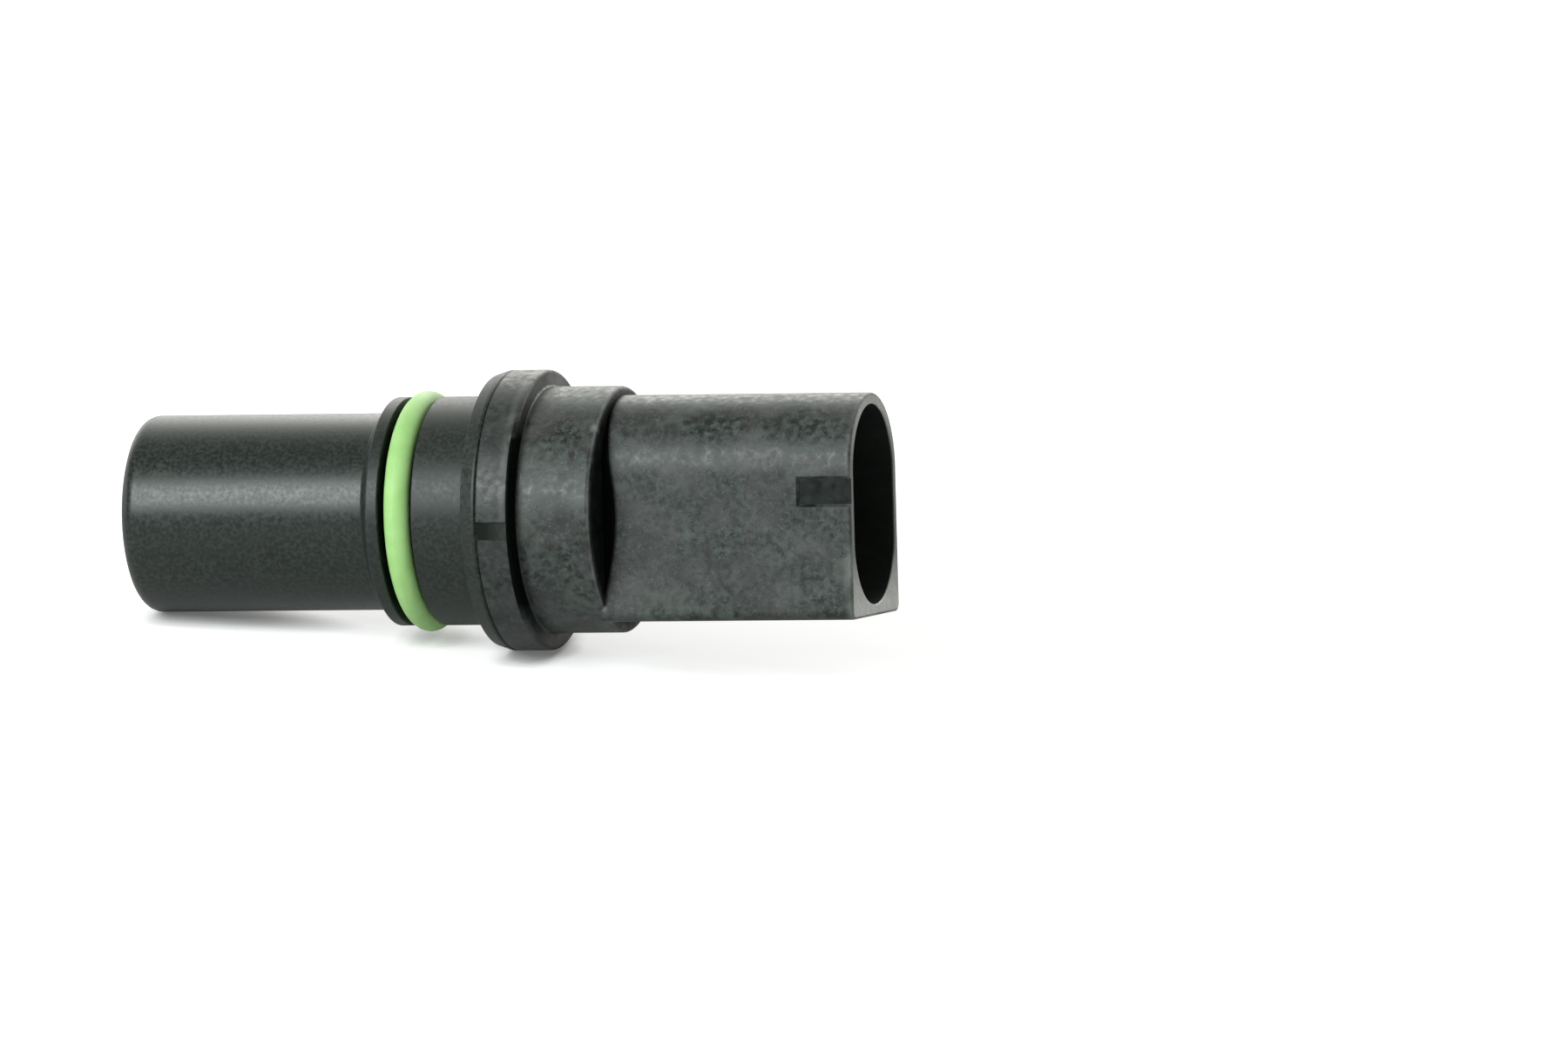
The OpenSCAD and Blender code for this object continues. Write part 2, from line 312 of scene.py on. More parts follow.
barrel = turned("barrel", eased([
    (tip_x, 0, 0),
    (tip_x, BARREL_R, TIP_ROUND),
    (LEAD_IN_FRONT, BARREL_R, ROOT),
    (LAND_FRONT, LAND_R, ROOT),
    (GROOVE_FRONT, LAND_R, SMALL_EDGE),
    (GROOVE_FRONT, GROOVE_R, ROOT),
    (GROOVE_BACK, GROOVE_R, ROOT),
    (GROOVE_BACK, LAND_R, SMALL_EDGE),
    (0, LAND_R, ROOT),
    (0, flange_r - SHOULDER_DROP, SMALL_EDGE),
    (joint_x - JOINT_BEVEL - SHOULDER_LAND, flange_r, SMALL_EDGE),
    (joint_x, flange_r, JOINT_BEVEL),
    (joint_x, BORE_R, SMALL_EDGE),
    (bore_floor, BORE_R, ROOT),
    (bore_floor, 0, 0),
]))


def along_and_out(finish):
    """Where a point lies on a turned shape: its place along the axis, and its distance from the axis."""
    place = add(finish, "SeparateXYZ", {"Vector": add(finish, "TexCoord", {}).outputs["Object"]}).outputs
    across = add(finish, "CombineXYZ", {"X": place["Y"], "Y": place["Z"]}).outputs["Vector"]
    return place["X"], add(finish, "VectorMath", {0: across}, operation="LENGTH").outputs["Value"]


def mixed(finish, share, lower, upper):
    """Lays one colour over another by a share from 0 to 1."""
    inputs = {"Factor": share, "A": lower, "B": upper}
    return add(finish, "Mix", inputs, data_type="RGBA").outputs["Result"]


satin_black = new_finish("satin_black_plastic", IOR=1.5)
flow_marks = grain(satin_black, 2.2 * MM, stretch=(0.35, 1, 1), detail=5)
fine_skin = grain(satin_black, 0.36 * MM, detail=5, seed=6)
deep_black = tint(satin_black, fine_skin, (0.001, 0.003, 0.002), (0.024, 0.035, 0.029), 0.4, 0.65)
flow_share = between(satin_black, flow_marks, 0.1, 0.6)
drive(satin_black, "Base Color", mixed(satin_black, flow_share, deep_black, (0.009, 0.014, 0.0115, 1)))

# The lands round the seal are handled and pushed into the bore, so they are a little duller, and the
# bevel at the joint has less gloss than the rest.
JOINT_DULL_START = 0.3 * MM
JOINT_DULL_END = 0.1 * MM
barrel_along, barrel_out = along_and_out(satin_black)
duller = between(satin_black, barrel_out, 0.0, 0.1, BARREL_R, LAND_R)
satin = between(satin_black, fine_skin, 0.30, 0.44)
land_satin = add(satin_black, "Math", {0: satin, 1: duller}, operation="ADD").outputs["Value"]
joint_gloss = between(satin_black, barrel_along, 0.5, 0.25,
                      joint_x - JOINT_DULL_START, joint_x - JOINT_DULL_END)
drive(satin_black, "Roughness", land_satin)
drive(satin_black, "Normal", relief(satin_black, fine_skin, 0.008 * MM, 0.45))
drive(satin_black, "Specular IOR Level", joint_gloss)
barrel.data.materials.append(satin_black)
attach(barrel, "root")
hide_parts("barrel_cup")


# O-ring: pale green fluoro rubber, stretched into the barrel's groove by hand. The mould leaves a fine
# flash line round its outside and its inside.
FLASH_H = 0.02 * MM
FLASH_W = radians(3)
SECTION_STEPS = 72
ring_low, ring_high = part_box("o_ring")
ring_r = (ring_high.x - ring_low.x) / 2
ring_x = (ring_high.x + ring_low.x) / 2
ring_middle = ring_high.z - ring_r


def ring_point(angle):
    """A point of the round section, which stands out by the flash at its top and at its bottom."""
    to_flash = min(abs(angle - flash) for flash in (0, pi, tau))
    reach = ring_r - FLASH_H * (1 - max(0, 1 - to_flash / FLASH_W))
    return ring_x + reach * sin(angle), ring_middle + reach * cos(angle)


ring_outline = [ring_point(tau * k / SECTION_STEPS) for k in range(SECTION_STEPS)]
o_ring = turned("o_ring_seal", ring_outline, closed=True)

green_rubber = new_finish("green_rubber", IOR=1.45, Subsurface_Weight=0.4, Subsurface_Scale=0.9 * MM,
                          Subsurface_Radius=(0.9, 1.0, 0.8))
rubber_bloom = grain(green_rubber, 1.8 * MM, detail=5)
rubber_skin = grain(green_rubber, 0.12 * MM, seed=8)
rubber_tone = tint(green_rubber, rubber_bloom, (0.355, 0.635, 0.215), (0.425, 0.705, 0.28))
drive(green_rubber, "Base Color", rubber_tone)
drive(green_rubber, "Roughness", between(green_rubber, rubber_bloom, 0.42, 0.56))
drive(green_rubber, "Normal", relief(green_rubber, rubber_skin, 0.004 * MM, 0.6))
o_ring.data.materials.append(green_rubber)
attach(o_ring, "root")
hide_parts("o_ring")


# Connector: the rear moulding of black glass-filled plastic. Its spigot closes the barrel, its rim
# makes the rest of the flange, and its round-topped shroud takes the plug. Fibres show in its dull skin.
FLANGE_BACK = 4.9 * MM
RIM_BEVEL = 0.3 * MM
COLLAR_R = 11.25 * MM
COLLAR_BACK = 11.9 * MM
COLLAR_ROUND = 0.4 * MM
SPIGOT_R = 7.45 * MM
ARCH_R = 7.1 * MM
CROWN = 10.4 * MM
BASE_DROP = 9.9 * MM
BASE_ROUND = 0.8 * MM
WALL = 1.05 * MM
MOUTH_EDGE = 0.25 * MM
CAVITY_DEPTH = 16 * MM
FLOOR_ROUND = 0.4 * MM
BASE_STEPS = 10
CORNER_STEPS = 12
SIDE_STEPS = 16
ARCH_STEPS = 40
body_low, body_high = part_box("connector_body")
spigot_x, mouth_x = body_low.x, body_high.x
cavity_floor = mouth_x - CAVITY_DEPTH
arch_z = CROWN - ARCH_R


def half_shroud():
    """Right half of the shroud's outside, base to crown: stretches of (y, z, radius, angle) and steps."""
    low, corner_y = BASE_ROUND - BASE_DROP, ARCH_R - BASE_ROUND
    return [
        ((0, low, BASE_ROUND, -pi / 2), (corner_y, low, BASE_ROUND, -pi / 2), BASE_STEPS),
        ((corner_y, low, BASE_ROUND, -pi / 2), (corner_y, low, BASE_ROUND, 0), CORNER_STEPS),
        ((corner_y, low, BASE_ROUND, 0), (0, arch_z, ARCH_R, 0), SIDE_STEPS),
        ((0, arch_z, ARCH_R, 0), (0, arch_z, ARCH_R, pi / 2), ARCH_STEPS),
    ]


def half_cavity():
    """Right half of the plug cavity, from bottom to top, with as many steps as the outside has."""
    radius = ARCH_R - WALL
    low = WALL - BASE_DROP + radius
    return [
        ((0, low, radius, -pi / 2), (0, low, radius, 0), BASE_STEPS + CORNER_STEPS),
        ((0, low, radius, 0), (0, arch_z, radius, 0), SIDE_STEPS),
        ((0, arch_z, radius, 0), (0, arch_z, radius, pi / 2), ARCH_STEPS),
    ]


def section_loop(stretches, grow=0.0):
    """The whole section as (y, z) points, grown outwards, from its right half and the mirror of that."""
    half = []
    for first, last, count in stretches:
        for step in range(count):
            y, z, r, angle = (start + (end - start) * step / count for start, end in zip(first, last))
            half.append((y + (r + grow) * cos(angle), z + (r + grow) * sin(angle)))
    top_y, top_z, top_r, _ = stretches[-1][1]
    return half + [(top_y, top_z + top_r + grow)] + [(-y, z) for y, z in reversed(half[1:])]


def lofted(name, bands):
    """A closed skin through bands of loops (x, points), one finish to a band, with a cap on each end."""
    shape = bmesh.new()
    last_ring = None
    for band, loops in enumerate(bands):
        for x, points in loops:
            ring = [shape.verts.new((x, y, z)) for y, z in points]
            if last_ring is None:
                shape.faces.new(ring)
            else:
                for k in range(len(ring)):
                    face = shape.faces.new((last_ring[k - 1], last_ring[k], ring[k], ring[k - 1]))
                    face.material_index = band
            last_ring = ring
    shape.faces.new(last_ring).material_index = len(bands) - 1
    return finished(name, shape)


def quarter(radius, steps=5):
    """Steps of a quarter round, as (how far along, how far in), from its start to its end."""
    angles = [pi / 2 * step / steps for step in range(steps + 1)]
    return [(radius * sin(angle), radius * (1 - cos(angle))) for angle in angles]


outside, cavity = half_shroud(), half_cavity()
skin_loops = [(COLLAR_BACK - COLLAR_ROUND, section_loop(outside)),
              (mouth_x - MOUTH_EDGE - HOLD, section_loop(outside))]
skin_loops += [(mouth_x - MOUTH_EDGE + further, section_loop(outside, -inward))
               for further, inward in quarter(MOUTH_EDGE)]
rim_loops = [(mouth_x, section_loop(outside, -MOUTH_EDGE - HOLD)),
             (mouth_x, section_loop(cavity, SMALL_EDGE + HOLD))]
rim_loops += [(mouth_x - SMALL_EDGE + further, section_loop(cavity, inward))
              for further, inward in reversed(quarter(SMALL_EDGE))]
plug_loops = [(mouth_x - SMALL_EDGE - HOLD, section_loop(cavity)),
              (cavity_floor + FLOOR_ROUND + HOLD, section_loop(cavity))]
plug_loops += [(cavity_floor + FLOOR_ROUND - further, section_loop(cavity, -inward))
               for further, inward in quarter(FLOOR_ROUND)]
shroud = lofted("shroud", (skin_loops, rim_loops, plug_loops))

connector = turned("connector", eased([
    (spigot_x, 0, 0),
    (spigot_x, SPIGOT_R, SMALL_EDGE),
    (joint_x, SPIGOT_R, 0),
    (joint_x, flange_r, JOINT_BEVEL),
    (FLANGE_BACK, flange_r, RIM_BEVEL),
    (FLANGE_BACK, COLLAR_R, ROOT),
    (COLLAR_BACK, COLLAR_R, COLLAR_ROUND),
    (COLLAR_BACK, 0, 0),
]))

filled_black = new_finish("glass_filled_plastic", IOR=1.5)
fibre = grain(filled_black, 0.65 * MM, detail=8, seed=2, distortion=0.25)
fleck = grain(filled_black, 0.45 * MM, detail=3, seed=9, distortion=1.5)
cloud = grain(filled_black, 4 * MM, detail=7)
scuff = grain(filled_black, 2.6 * MM, stretch=(0.75, 1, 0.9), detail=7, seed=5, distortion=0.6)
skin = tint(filled_black, fibre, (0.001, 0.003, 0.002), (0.050, 0.070, 0.062), 0.40, 0.66)
cloud_share = between(filled_black, cloud, 0.0, 0.62, 0.42, 0.60)
clouded = mixed(filled_black, cloud_share, skin, (0.053, 0.049, 0.050, 1))
dull_share = between(filled_black, scuff, 0.5, 0.0, 0.36, 0.52)
dulled = mixed(filled_black, dull_share, clouded, (0.008, 0.0125, 0.0102, 1))
fleck_share = between(filled_black, fleck, 0.0, 0.6, 0.54, 0.76)
flecked = mixed(filled_black, fleck_share, dulled, (0.105, 0.124, 0.113, 1))
scuff_share = between(filled_black, scuff, 0.0, 0.6, 0.54, 0.70)
scuffed = mixed(filled_black, scuff_share, flecked, (0.085, 0.098, 0.09, 1))

# The edges are painted pale, broken up by the scuffs: rubbed wear on the collar's edge, wear with a painted
# highlight on the flange's rim, stronger on its upper half, and wear with painted light round the mouth. At
# the mouth's foot the pale is a painted reflection of the table, at the crown of the flange's back it is a
# painted reflection, and two small pale spots go right through.
RIM_RUB_AND_LIGHT_FRONT = 0.75 * MM
RIM_RUB_AND_LIGHT_REACH = 0.5 * MM
RIM_LIGHT_HEIGHTS = (-3 * MM, 1 * MM)
COLLAR_RUB_REACH = 0.3 * MM
MOUTH_RUB_AND_LIGHT = 0.6 * MM
FOOT_REFLECTION_START = 0.9 * MM
FOOT_REFLECTION_END = 0.1 * MM
FOOT_HEIGHTS = (-8 * MM, -2 * MM)
CROWN_REFLECTION = (FLANGE_BACK, 3 * MM, 11.7 * MM)
CROWN_REFLECTION_REACH = 4 * MM
PALE_SPOT_R = 0.7 * MM
PALE_SPOTS = ((4.72 * MM, -10.6 * MM, 7.1 * MM), (11.85 * MM, -8.0 * MM, 7.9 * MM))
PALE_EDGE_GREY = (0.24, 0.258, 0.243, 1)
along, out = along_and_out(filled_black)
on_outline = add(filled_black, "CombineXYZ", {"X": along, "Y": out}).outputs["Vector"]
on_body = add(filled_black, "TexCoord", {}).outputs["Object"]
height = add(filled_black, "SeparateXYZ", {"Vector": on_body}).outputs["Z"]


def times(finish, one, other):
    return add(finish, "Math", {0: one, 1: other}, operation="MULTIPLY").outputs["Value"]


def most(finish, shares):
    top = shares[0]
    for share in shares[1:]:
        top = add(finish, "Math", {0: top, 1: share}, operation="MAXIMUM").outputs["Value"]
    return top


def near(finish, source, spot, reach):
    """1 at a spot, down to 0 at the reach."""
    away = add(finish, "VectorMath", {0: source, 1: spot}, operation="DISTANCE").outputs["Value"]
    return between(finish, away, 1, 0, 0, reach)


rim_line = near(filled_black, on_outline, (FLANGE_BACK - RIM_RUB_AND_LIGHT_FRONT, flange_r, 0), RIM_RUB_AND_LIGHT_REACH)
# The rim's pale line is lighter on its upper half: painted highlight.
rim_edge = times(filled_black, rim_line, between(filled_black, height, 0, 0.5, *RIM_LIGHT_HEIGHTS))
collar_edge = near(filled_black, on_outline, (COLLAR_BACK, COLLAR_R, 0), COLLAR_RUB_REACH)
mouth_edge = between(filled_black, along, 0, 0.4, mouth_x - MOUTH_RUB_AND_LIGHT, mouth_x)
# The foot of the mouth's outside: a painted reflection of the table.
foot_line = between(filled_black, along, 0, 1, mouth_x - FOOT_REFLECTION_START, mouth_x - FOOT_REFLECTION_END)
mouth_foot_reflection = times(filled_black, between(filled_black, height, 1, 0, *FOOT_HEIGHTS), foot_line)
rubbed_and_lit_edges = times(filled_black, most(filled_black, [rim_edge, collar_edge, mouth_edge, mouth_foot_reflection]),
               between(filled_black, scuff, 0.2, 0.9, 0.35, 0.65))
# The crown of the flange's back: a painted reflection.
crown_reflection = times(filled_black, near(filled_black, on_body, CROWN_REFLECTION, CROWN_REFLECTION_REACH), 0.8)
pale_spots = [near(filled_black, on_body, nick, PALE_SPOT_R) for nick in PALE_SPOTS]
edged = mixed(filled_black, most(filled_black, [rubbed_and_lit_edges, crown_reflection] + pale_spots), scuffed, PALE_EDGE_GREY)

# The corners behind the flange and the collar have painted shade: they are painted dark, and their gloss is
# cut.
# The flange's runs from its bevel to its foot and thins out at the crown and near the table. The collar's is
# a painted shadow cast on the shroud, which leans back, so that it is wider the deeper it lies. The joint
# line is a little darker and duller too, and the flange's rim and back face are darker the further they lie
# from the axis.
CORNER_START = 0.12 * MM
FLANGE_TURN = 0.5 * MM
FLANGE_FOOT = 0.02 * MM
FLANGE_FADE = 0.15 * MM
CROWN_HEIGHTS = (7 * MM, 10.5 * MM)
TABLE_HEIGHTS = (-11 * MM, -8 * MM)
COLLAR_TURN = 0.1 * MM
COLLAR_FADE = 0.35 * MM
COLLAR_SHADOW_LEAN = 0.36
JOINT_REACH = 0.3 * MM
CORNER_SHADE_BLACK = (0.001, 0.002, 0.0013, 1)
on_rim = between(filled_black, out, 0, 0.38, COLLAR_R, flange_r)
rim_end = FLANGE_BACK - FLANGE_TURN
past_rim = between(filled_black, along, 0, 1, rim_end, rim_end + CORNER_START)
foot_x = FLANGE_BACK + FLANGE_FOOT
before_collar = between(filled_black, along, 1, 0, foot_x, foot_x + FLANGE_FADE)
below_crown = between(filled_black, height, 1, 0, *CROWN_HEIGHTS)
above_table = between(filled_black, height, 0.2, 1, *TABLE_HEIGHTS)
flange_corner_shade = times(filled_black, times(filled_black, past_rim, before_collar),
                      times(filled_black, below_crown, above_table))
collar_end = COLLAR_BACK - COLLAR_TURN
past_collar = between(filled_black, along, 0, 1, collar_end, collar_end + CORNER_START)
lean_sum = {0: out, 1: COLLAR_SHADOW_LEAN, 2: along}
leaning = add(filled_black, "Math", lean_sum, operation="MULTIPLY_ADD").outputs["Value"]
lean_end = COLLAR_BACK + COLLAR_SHADOW_LEAN * COLLAR_R
collar_shadow = times(filled_black, past_collar,
                      between(filled_black, leaning, 1, 0, lean_end - COLLAR_FADE, lean_end))
joint_line = times(filled_black, near(filled_black, on_outline, (joint_x, flange_r, 0), JOINT_REACH), 0.5)
corners = [flange_corner_shade, collar_shadow, joint_line]
# Painted shade in the corners, on the flange and at the joint darkens the colour, and the corners' gloss is
# cut too.
painted_corner_shade = most(filled_black, corners + [on_rim])
drive(filled_black, "Base Color", mixed(filled_black, painted_corner_shade, edged, CORNER_SHADE_BLACK))
drive(filled_black, "Specular IOR Level", between(filled_black, most(filled_black, corners), 0.5, 0.03, 0, 1))
drive(filled_black, "Roughness", between(filled_black, fibre, 0.36, 0.60))
drive(filled_black, "Normal", relief(filled_black, fibre, 0.03 * MM, 0.9))
connector.data.materials.append(filled_black)

# The mouth's rim is flat and smooth, with a painted reflection of the table at its foot and painted light at
# its crown.
# The cavity is painted darker than the outside: painted shade.
RIM_FOOT = (-9 * MM, -4 * MM)
RIM_CROWN = (4 * MM, 9 * MM)
mouth_rim_painted_sheen = new_finish("mouth_rim_painted_sheen", IOR=1.5, Specular_IOR_Level=0.35)
mouth_marks = grain(mouth_rim_painted_sheen, 0.9 * MM, detail=5, seed=3)
rim_place = add(mouth_rim_painted_sheen, "TexCoord", {}).outputs["Object"]
rim_height = add(mouth_rim_painted_sheen, "SeparateXYZ", {"Vector": rim_place}).outputs["Z"]
# Painted reflection at the rim's foot, painted light at its crown.
painted_sheen_share = most(mouth_rim_painted_sheen, [between(mouth_rim_painted_sheen, rim_height, 1, 0, *RIM_FOOT),
                                 between(mouth_rim_painted_sheen, rim_height, 0, 0.6, *RIM_CROWN)])
rim_black = tint(mouth_rim_painted_sheen, mouth_marks, (0.018, 0.022, 0.019), (0.055, 0.062, 0.057))
rim_pale = tint(mouth_rim_painted_sheen, mouth_marks, (0.44, 0.455, 0.435), (0.58, 0.59, 0.57))
drive(mouth_rim_painted_sheen, "Base Color", mixed(mouth_rim_painted_sheen, painted_sheen_share, rim_black, rim_pale))
drive(mouth_rim_painted_sheen, "Roughness", between(mouth_rim_painted_sheen, mouth_marks, 0.22, 0.3))

shaded_cavity_black = new_finish("cavity_painted_shade", IOR=1.5, Specular_IOR_Level=0.3)
cavity_flow = grain(shaded_cavity_black, 1.5 * MM, stretch=(0.4, 1, 1), detail=5, seed=1)
# Painted shade: the cavity's colour is darker than the outside's.
cavity_tone = tint(shaded_cavity_black, cavity_flow, (0.0035, 0.006, 0.0045), (0.009, 0.013, 0.0105))
drive(shaded_cavity_black, "Base Color", cavity_tone)
drive(shaded_cavity_black, "Roughness", between(shaded_cavity_black, cavity_flow, 0.5, 0.65))
for finish in (filled_black, mouth_rim_painted_sheen, shaded_cavity_black):
    shroud.data.materials.append(finish)

# The mould is polished where the keyway and the gate mark are, so their floors are smooth. The keyway's floor
# is painted dark, as painted shade in the recess. The gate mark's floor is near black at the joint, and
# greyer and duller away from it.
GATE_FADE_START = 0.9 * MM
GATE_FADE_END = 3 * MM
GATE_BLACK = (0.003, 0.006, 0.0045, 1)
polished_shaded_black = new_finish("polished_recess_painted_shade", IOR=1.5, Specular_IOR_Level=0.35)
recess_flow = grain(polished_shaded_black, 0.8 * MM, detail=4, seed=4)
# Painted shade: the keyway's floor is darker than the connector's skin.
recess_tone = tint(polished_shaded_black, recess_flow, (0.001, 0.003, 0.002), (0.009, 0.014, 0.0115))
drive(polished_shaded_black, "Base Color", recess_tone)
drive(polished_shaded_black, "Roughness", between(polished_shaded_black, recess_flow, 0.26, 0.36))

gate_black = new_finish("gate_mark", IOR=1.5)
gate_along, _ = along_and_out(gate_black)
gate_fade = between(gate_black, gate_along, 0, 0.45, joint_x + GATE_FADE_START, joint_x + GATE_FADE_END)
gate_grain = grain(gate_black, 0.7 * MM, detail=6, seed=2)
gate_grey = tint(gate_black, gate_grain, (0.012, 0.017, 0.014), (0.06, 0.07, 0.064))
drive(gate_black, "Base Color", mixed(gate_black, gate_fade, GATE_BLACK, gate_grey))
drive(gate_black, "Specular IOR Level", between(gate_black, gate_fade, 0.2, 0.5, 0, 1))
drive(gate_black, "Roughness", between(gate_black, gate_fade, 0.3, 0.48, 0, 1))


def combine(piece, tool, operation):
    """Joins a tool shape to a piece, or cuts it out, and takes the tool away."""
    change = piece.modifiers.new(operation, "BOOLEAN")
    change.operation = operation
    change.solver = "EXACT"
    change.material_mode = "TRANSFER"
    change.object = tool
    result = bpy.data.meshes.new_from_object(piece.evaluated_get(bpy.context.evaluated_depsgraph_get()))
    piece.modifiers.clear()
    piece.data = result
    bpy.data.objects.remove(tool)


def block(name, low, high, floor, draft=0.0):
    """A block from one corner to the other. Its -Y end is wider by the draft, and its +Y end cuts a floor."""
    shape = bmesh.new()
    bmesh.ops.create_cube(shape, size=1)
    low, high = Vector(low), Vector(high)
    wider = draft * (high.y - low.y)
    for vertex in shape.verts:
        side = vertex.co * 2
        vertex.co = (low + high) / 2 + Vector(a * b for a, b in zip(vertex.co, high - low))
        if side.y < 0:
            vertex.co += Vector((side.x, 0, side.z)) * wider
    piece = finished(name, shape)
    for finish in (filled_black, floor):
        piece.data.materials.append(finish)
    for face in piece.data.polygons:
        face.material_index = 1 if face.normal.y > FLOOR_FACING else 0
    return piece


# The keyway is open at the mouth, the gate mark is where the plastic was let into the mould, and the
# terminals stand in slots with hardly any room.
KEY_L = 4.9 * MM
KEY_W = 2.3 * MM
KEY_DEPTH = 0.35 * MM
KEY_Z = 1.8 * MM
GATE_L = 2.65 * MM
GATE_H = 1.5 * MM
GATE_DEPTH = 0.2 * MM
GATE_Z = -1.25 * MM
GATE_GAP = 0.2 * MM
TAB_W = 2.8 * MM
DRAFT = 0.7
FLOOR_FACING = 0.9
PAST = 1 * MM
SLOT_ROOM = 0.02 * MM
combine(connector, shroud, "UNION")
keyway = block("keyway", (mouth_x - KEY_L, -ARCH_R - PAST, KEY_Z - KEY_W / 2),
               (mouth_x + PAST, -ARCH_R + KEY_DEPTH, KEY_Z + KEY_W / 2), polished_shaded_black, DRAFT)
combine(connector, keyway, "DIFFERENCE")
gate_x = joint_x + GATE_GAP
gate = block("gate_mark", (gate_x, -flange_r - PAST, GATE_Z - GATE_H / 2),
             (gate_x + GATE_L, -flange_r + GATE_DEPTH, GATE_Z + GATE_H / 2), gate_black, DRAFT)
combine(connector, gate, "DIFFERENCE")
for name in ("terminal_upper", "terminal_lower"):
    tab_low, tab_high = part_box(name)
    inner = min(abs(tab_low.z), abs(tab_high.z)) - SLOT_ROOM
    outer = inner + TAB_W + 2 * SLOT_ROOM
    low_z, high_z = (inner, outer) if tab_high.z > 0 else (-outer, -inner)
    slot = block("slot", (spigot_x - PAST, tab_low.y - SLOT_ROOM, low_z),
                 (cavity_floor + PAST, tab_high.y + SLOT_ROOM, high_z), filled_black)
    combine(connector, slot, "DIFFERENCE")

connector.data.shade_smooth()
connector.data.set_sharp_from_angle(angle=SHARP)
connector.modifiers.new("flat faces stay flat", "WEIGHTED_NORMAL").keep_sharp = True
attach(connector, "root")
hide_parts("connector_body")


# Table: the sensor lies on a white sheet, on the front edge of its flange and the edge of its tip, so
# the sheet slopes a little in the sensor's own frame.
SLOPE = radians(6.49)
ROLL = radians(11.5)
SHEET_DROP = 12.675 * MM
SHEET_SIZE = 1.2
SHEET_CELLS = 4


def facing(away, distance):
    """Where a thing goes that lies at a distance along a direction, and turns its +Z that way."""
    return Matrix.Translation(away * distance) @ away.to_track_quat("Z", "Y").to_matrix().to_4x4()


upright = Vector((sin(SLOPE), -cos(SLOPE) * sin(ROLL), cos(SLOPE) * cos(ROLL)))
sheet_shape = bmesh.new()
bmesh.ops.create_grid(sheet_shape, x_segments=SHEET_CELLS, y_segments=SHEET_CELLS, size=SHEET_SIZE / 2)
sheet = finished("white_sheet", sheet_shape)
sheet.matrix_world = facing(upright, -SHEET_DROP)
white_paper = new_finish("white_paper", Roughness=0.9, Specular_IOR_Level=0.0, Emission_Color=(1, 1, 1, 1))
paper_grain = grain(white_paper, 4 * MM, detail=3)
drive(white_paper, "Base Color", tint(white_paper, paper_grain, (0.71, 0.71, 0.705), (0.73, 0.73, 0.725)))

# The eye sees the sheet white, with a painted contact shadow: its glow is darker where the sensor closes it
# in.
# Gloss sees a little of that.
CONTACT = 2.4 * MM
open_sky = add(white_paper, "AmbientOcclusion", {"Distance": CONTACT}, samples=16).outputs["AO"]
paper_rays = add(white_paper, "LightPath", {}).outputs
eye_share = between(white_paper, open_sky, 0.12, 0.62, 0.25, 0.8)
gloss_share = between(white_paper, open_sky, 0.0, 0.1, 0.15, 0.75)
eye_white = times(white_paper, paper_rays["Is Camera Ray"], eye_share)
gloss_white = times(white_paper, paper_rays["Is Glossy Ray"], gloss_share)
drive(white_paper, "Emission Strength", most(white_paper, [eye_white, gloss_white]))
sheet.data.materials.append(white_paper)


# Light: an even white room, which the gloss sees with white walls behind and on the left and a dim front,
# and two soft boxes: one in front on the left for the pale band along the barrel, one above and behind.
EVEN_LIGHT = 0.45
WALL_LIGHT = 2.2
CEILING_LIGHT = 0.45
FRONT_LIGHT = 0.1
CEILING_EDGE = (0.3, 0.9)
BACK_WALL_EDGE = (0.1, 0.7)
LEFT_WALL_EDGE = (-0.84, -0.97)
WARM_WHITE = (1, 1, 0.96, 1)
WHITE = (1, 1, 1, 1)
room = bpy.data.worlds.new("white_room")
room.use_nodes = True
scene.world = room
towards = add(room, "SeparateXYZ", {"Vector": add(room, "TexCoord", {}).outputs["Generated"]}).outputs
front_part = between(room, towards["Z"], FRONT_LIGHT, CEILING_LIGHT, *CEILING_EDGE)
back_wall = between(room, towards["Y"], 0, 1, *BACK_WALL_EDGE)
left_wall = between(room, towards["X"], 0, 1, *LEFT_WALL_EDGE)
wall_share = most(room, [back_wall, left_wall])
mirrored = add(room, "Mix", {"Factor": wall_share, "A": front_part, "B": WALL_LIGHT}).outputs["Result"]
room_rays = add(room, "LightPath", {}).outputs
lighting = {"Factor": room_rays["Is Glossy Ray"], "A": EVEN_LIGHT, "B": mirrored}
lit = add(room, "Mix", lighting).outputs["Result"]
shown = add(room, "Mix", {"Factor": room_rays["Is Camera Ray"], "A": lit, "B": 1.0}).outputs["Result"]
room_tone = mixed(room, room_rays["Is Camera Ray"], WARM_WHITE, WHITE)
room_glow = room.node_tree.nodes["Background"]
room.node_tree.links.new(room_tone, room_glow.inputs["Color"])
room.node_tree.links.new(shown, room_glow.inputs["Strength"])


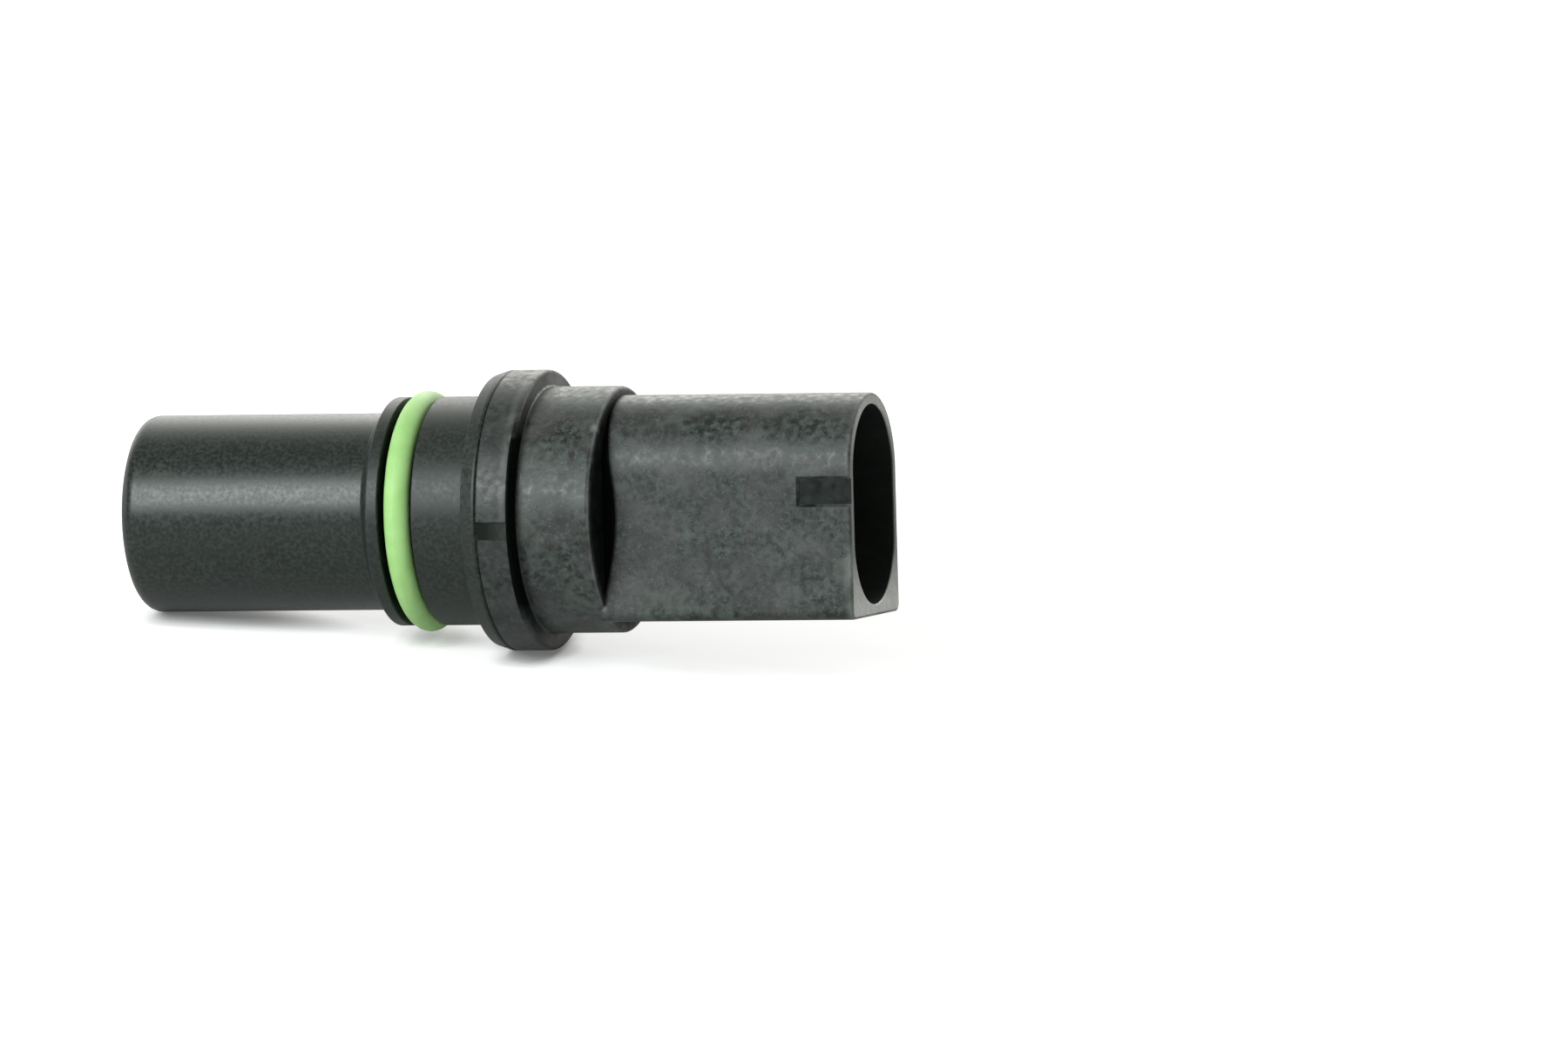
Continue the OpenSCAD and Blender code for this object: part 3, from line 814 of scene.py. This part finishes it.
def soft_box(name, direction, distance, wide, tall, brightness, colour):
    """A lamp that faces the sensor; brightness is the radiance of its face, where 1 is white."""
    lamp = bpy.data.lights.new(name, "AREA")
    lamp.shape = "RECTANGLE"
    lamp.size, lamp.size_y = wide, tall
    lamp.energy = brightness * pi * wide * tall
    lamp.color = colour
    holder = bpy.data.objects.new(name, lamp)
    holder.matrix_world = facing(Vector(direction).normalized(), distance)
    scene.collection.objects.link(holder)


soft_box("front_box", direction=(-0.31, -0.866, 0.39), distance=0.5, wide=0.2, tall=0.23,
         brightness=13.5, colour=(0.93, 1.0, 0.98))
soft_box("back_box", direction=(0.0, 0.77, 0.64), distance=0.6, wide=0.4, tall=0.3,
         brightness=3.2, colour=(1.0, 1.0, 0.95))


# Camera: level with the sensor and to the right of square on, from far away, so that the axis is drawn
# almost without perspective. The origin lies left of the picture's middle.
TURN = radians(18.2)
LIFT = radians(3.0)
TILT = radians(-1.55)
DISTANCE = 2.0
PICTURE_W = 1800
PICTURE_H = 1200
PIXELS_PER_M = 12580
ORIGIN_X = 576.5
ORIGIN_Y = 586
to_eye = Vector((sin(TURN) * cos(LIFT), -cos(TURN) * cos(LIFT), sin(LIFT)))
level_right = Vector((cos(TURN), sin(TURN), 0))
level_up = to_eye.cross(level_right)
picture_right = cos(TILT) * level_right + sin(TILT) * level_up
picture_up = cos(TILT) * level_up - sin(TILT) * level_right
eye = to_eye * DISTANCE
aim_right = (PICTURE_W / 2 - ORIGIN_X) / PIXELS_PER_M
aim_up = (ORIGIN_Y - PICTURE_H / 2) / PIXELS_PER_M
aim = picture_right * aim_right + picture_up * aim_up
back = (eye - aim).normalized()
across = picture_up.cross(back).normalized()
lens = bpy.data.cameras.new("camera")
lens.sensor_width = 36
lens.lens = lens.sensor_width * DISTANCE * PIXELS_PER_M / PICTURE_W
lens.clip_start, lens.clip_end = 0.1, 10
camera = bpy.data.objects.new("camera", lens)
camera_axes = Matrix((across, back.cross(across), back)).transposed().to_4x4()
camera.matrix_world = Matrix.Translation(eye) @ camera_axes
scene.collection.objects.link(camera)
scene.camera = camera
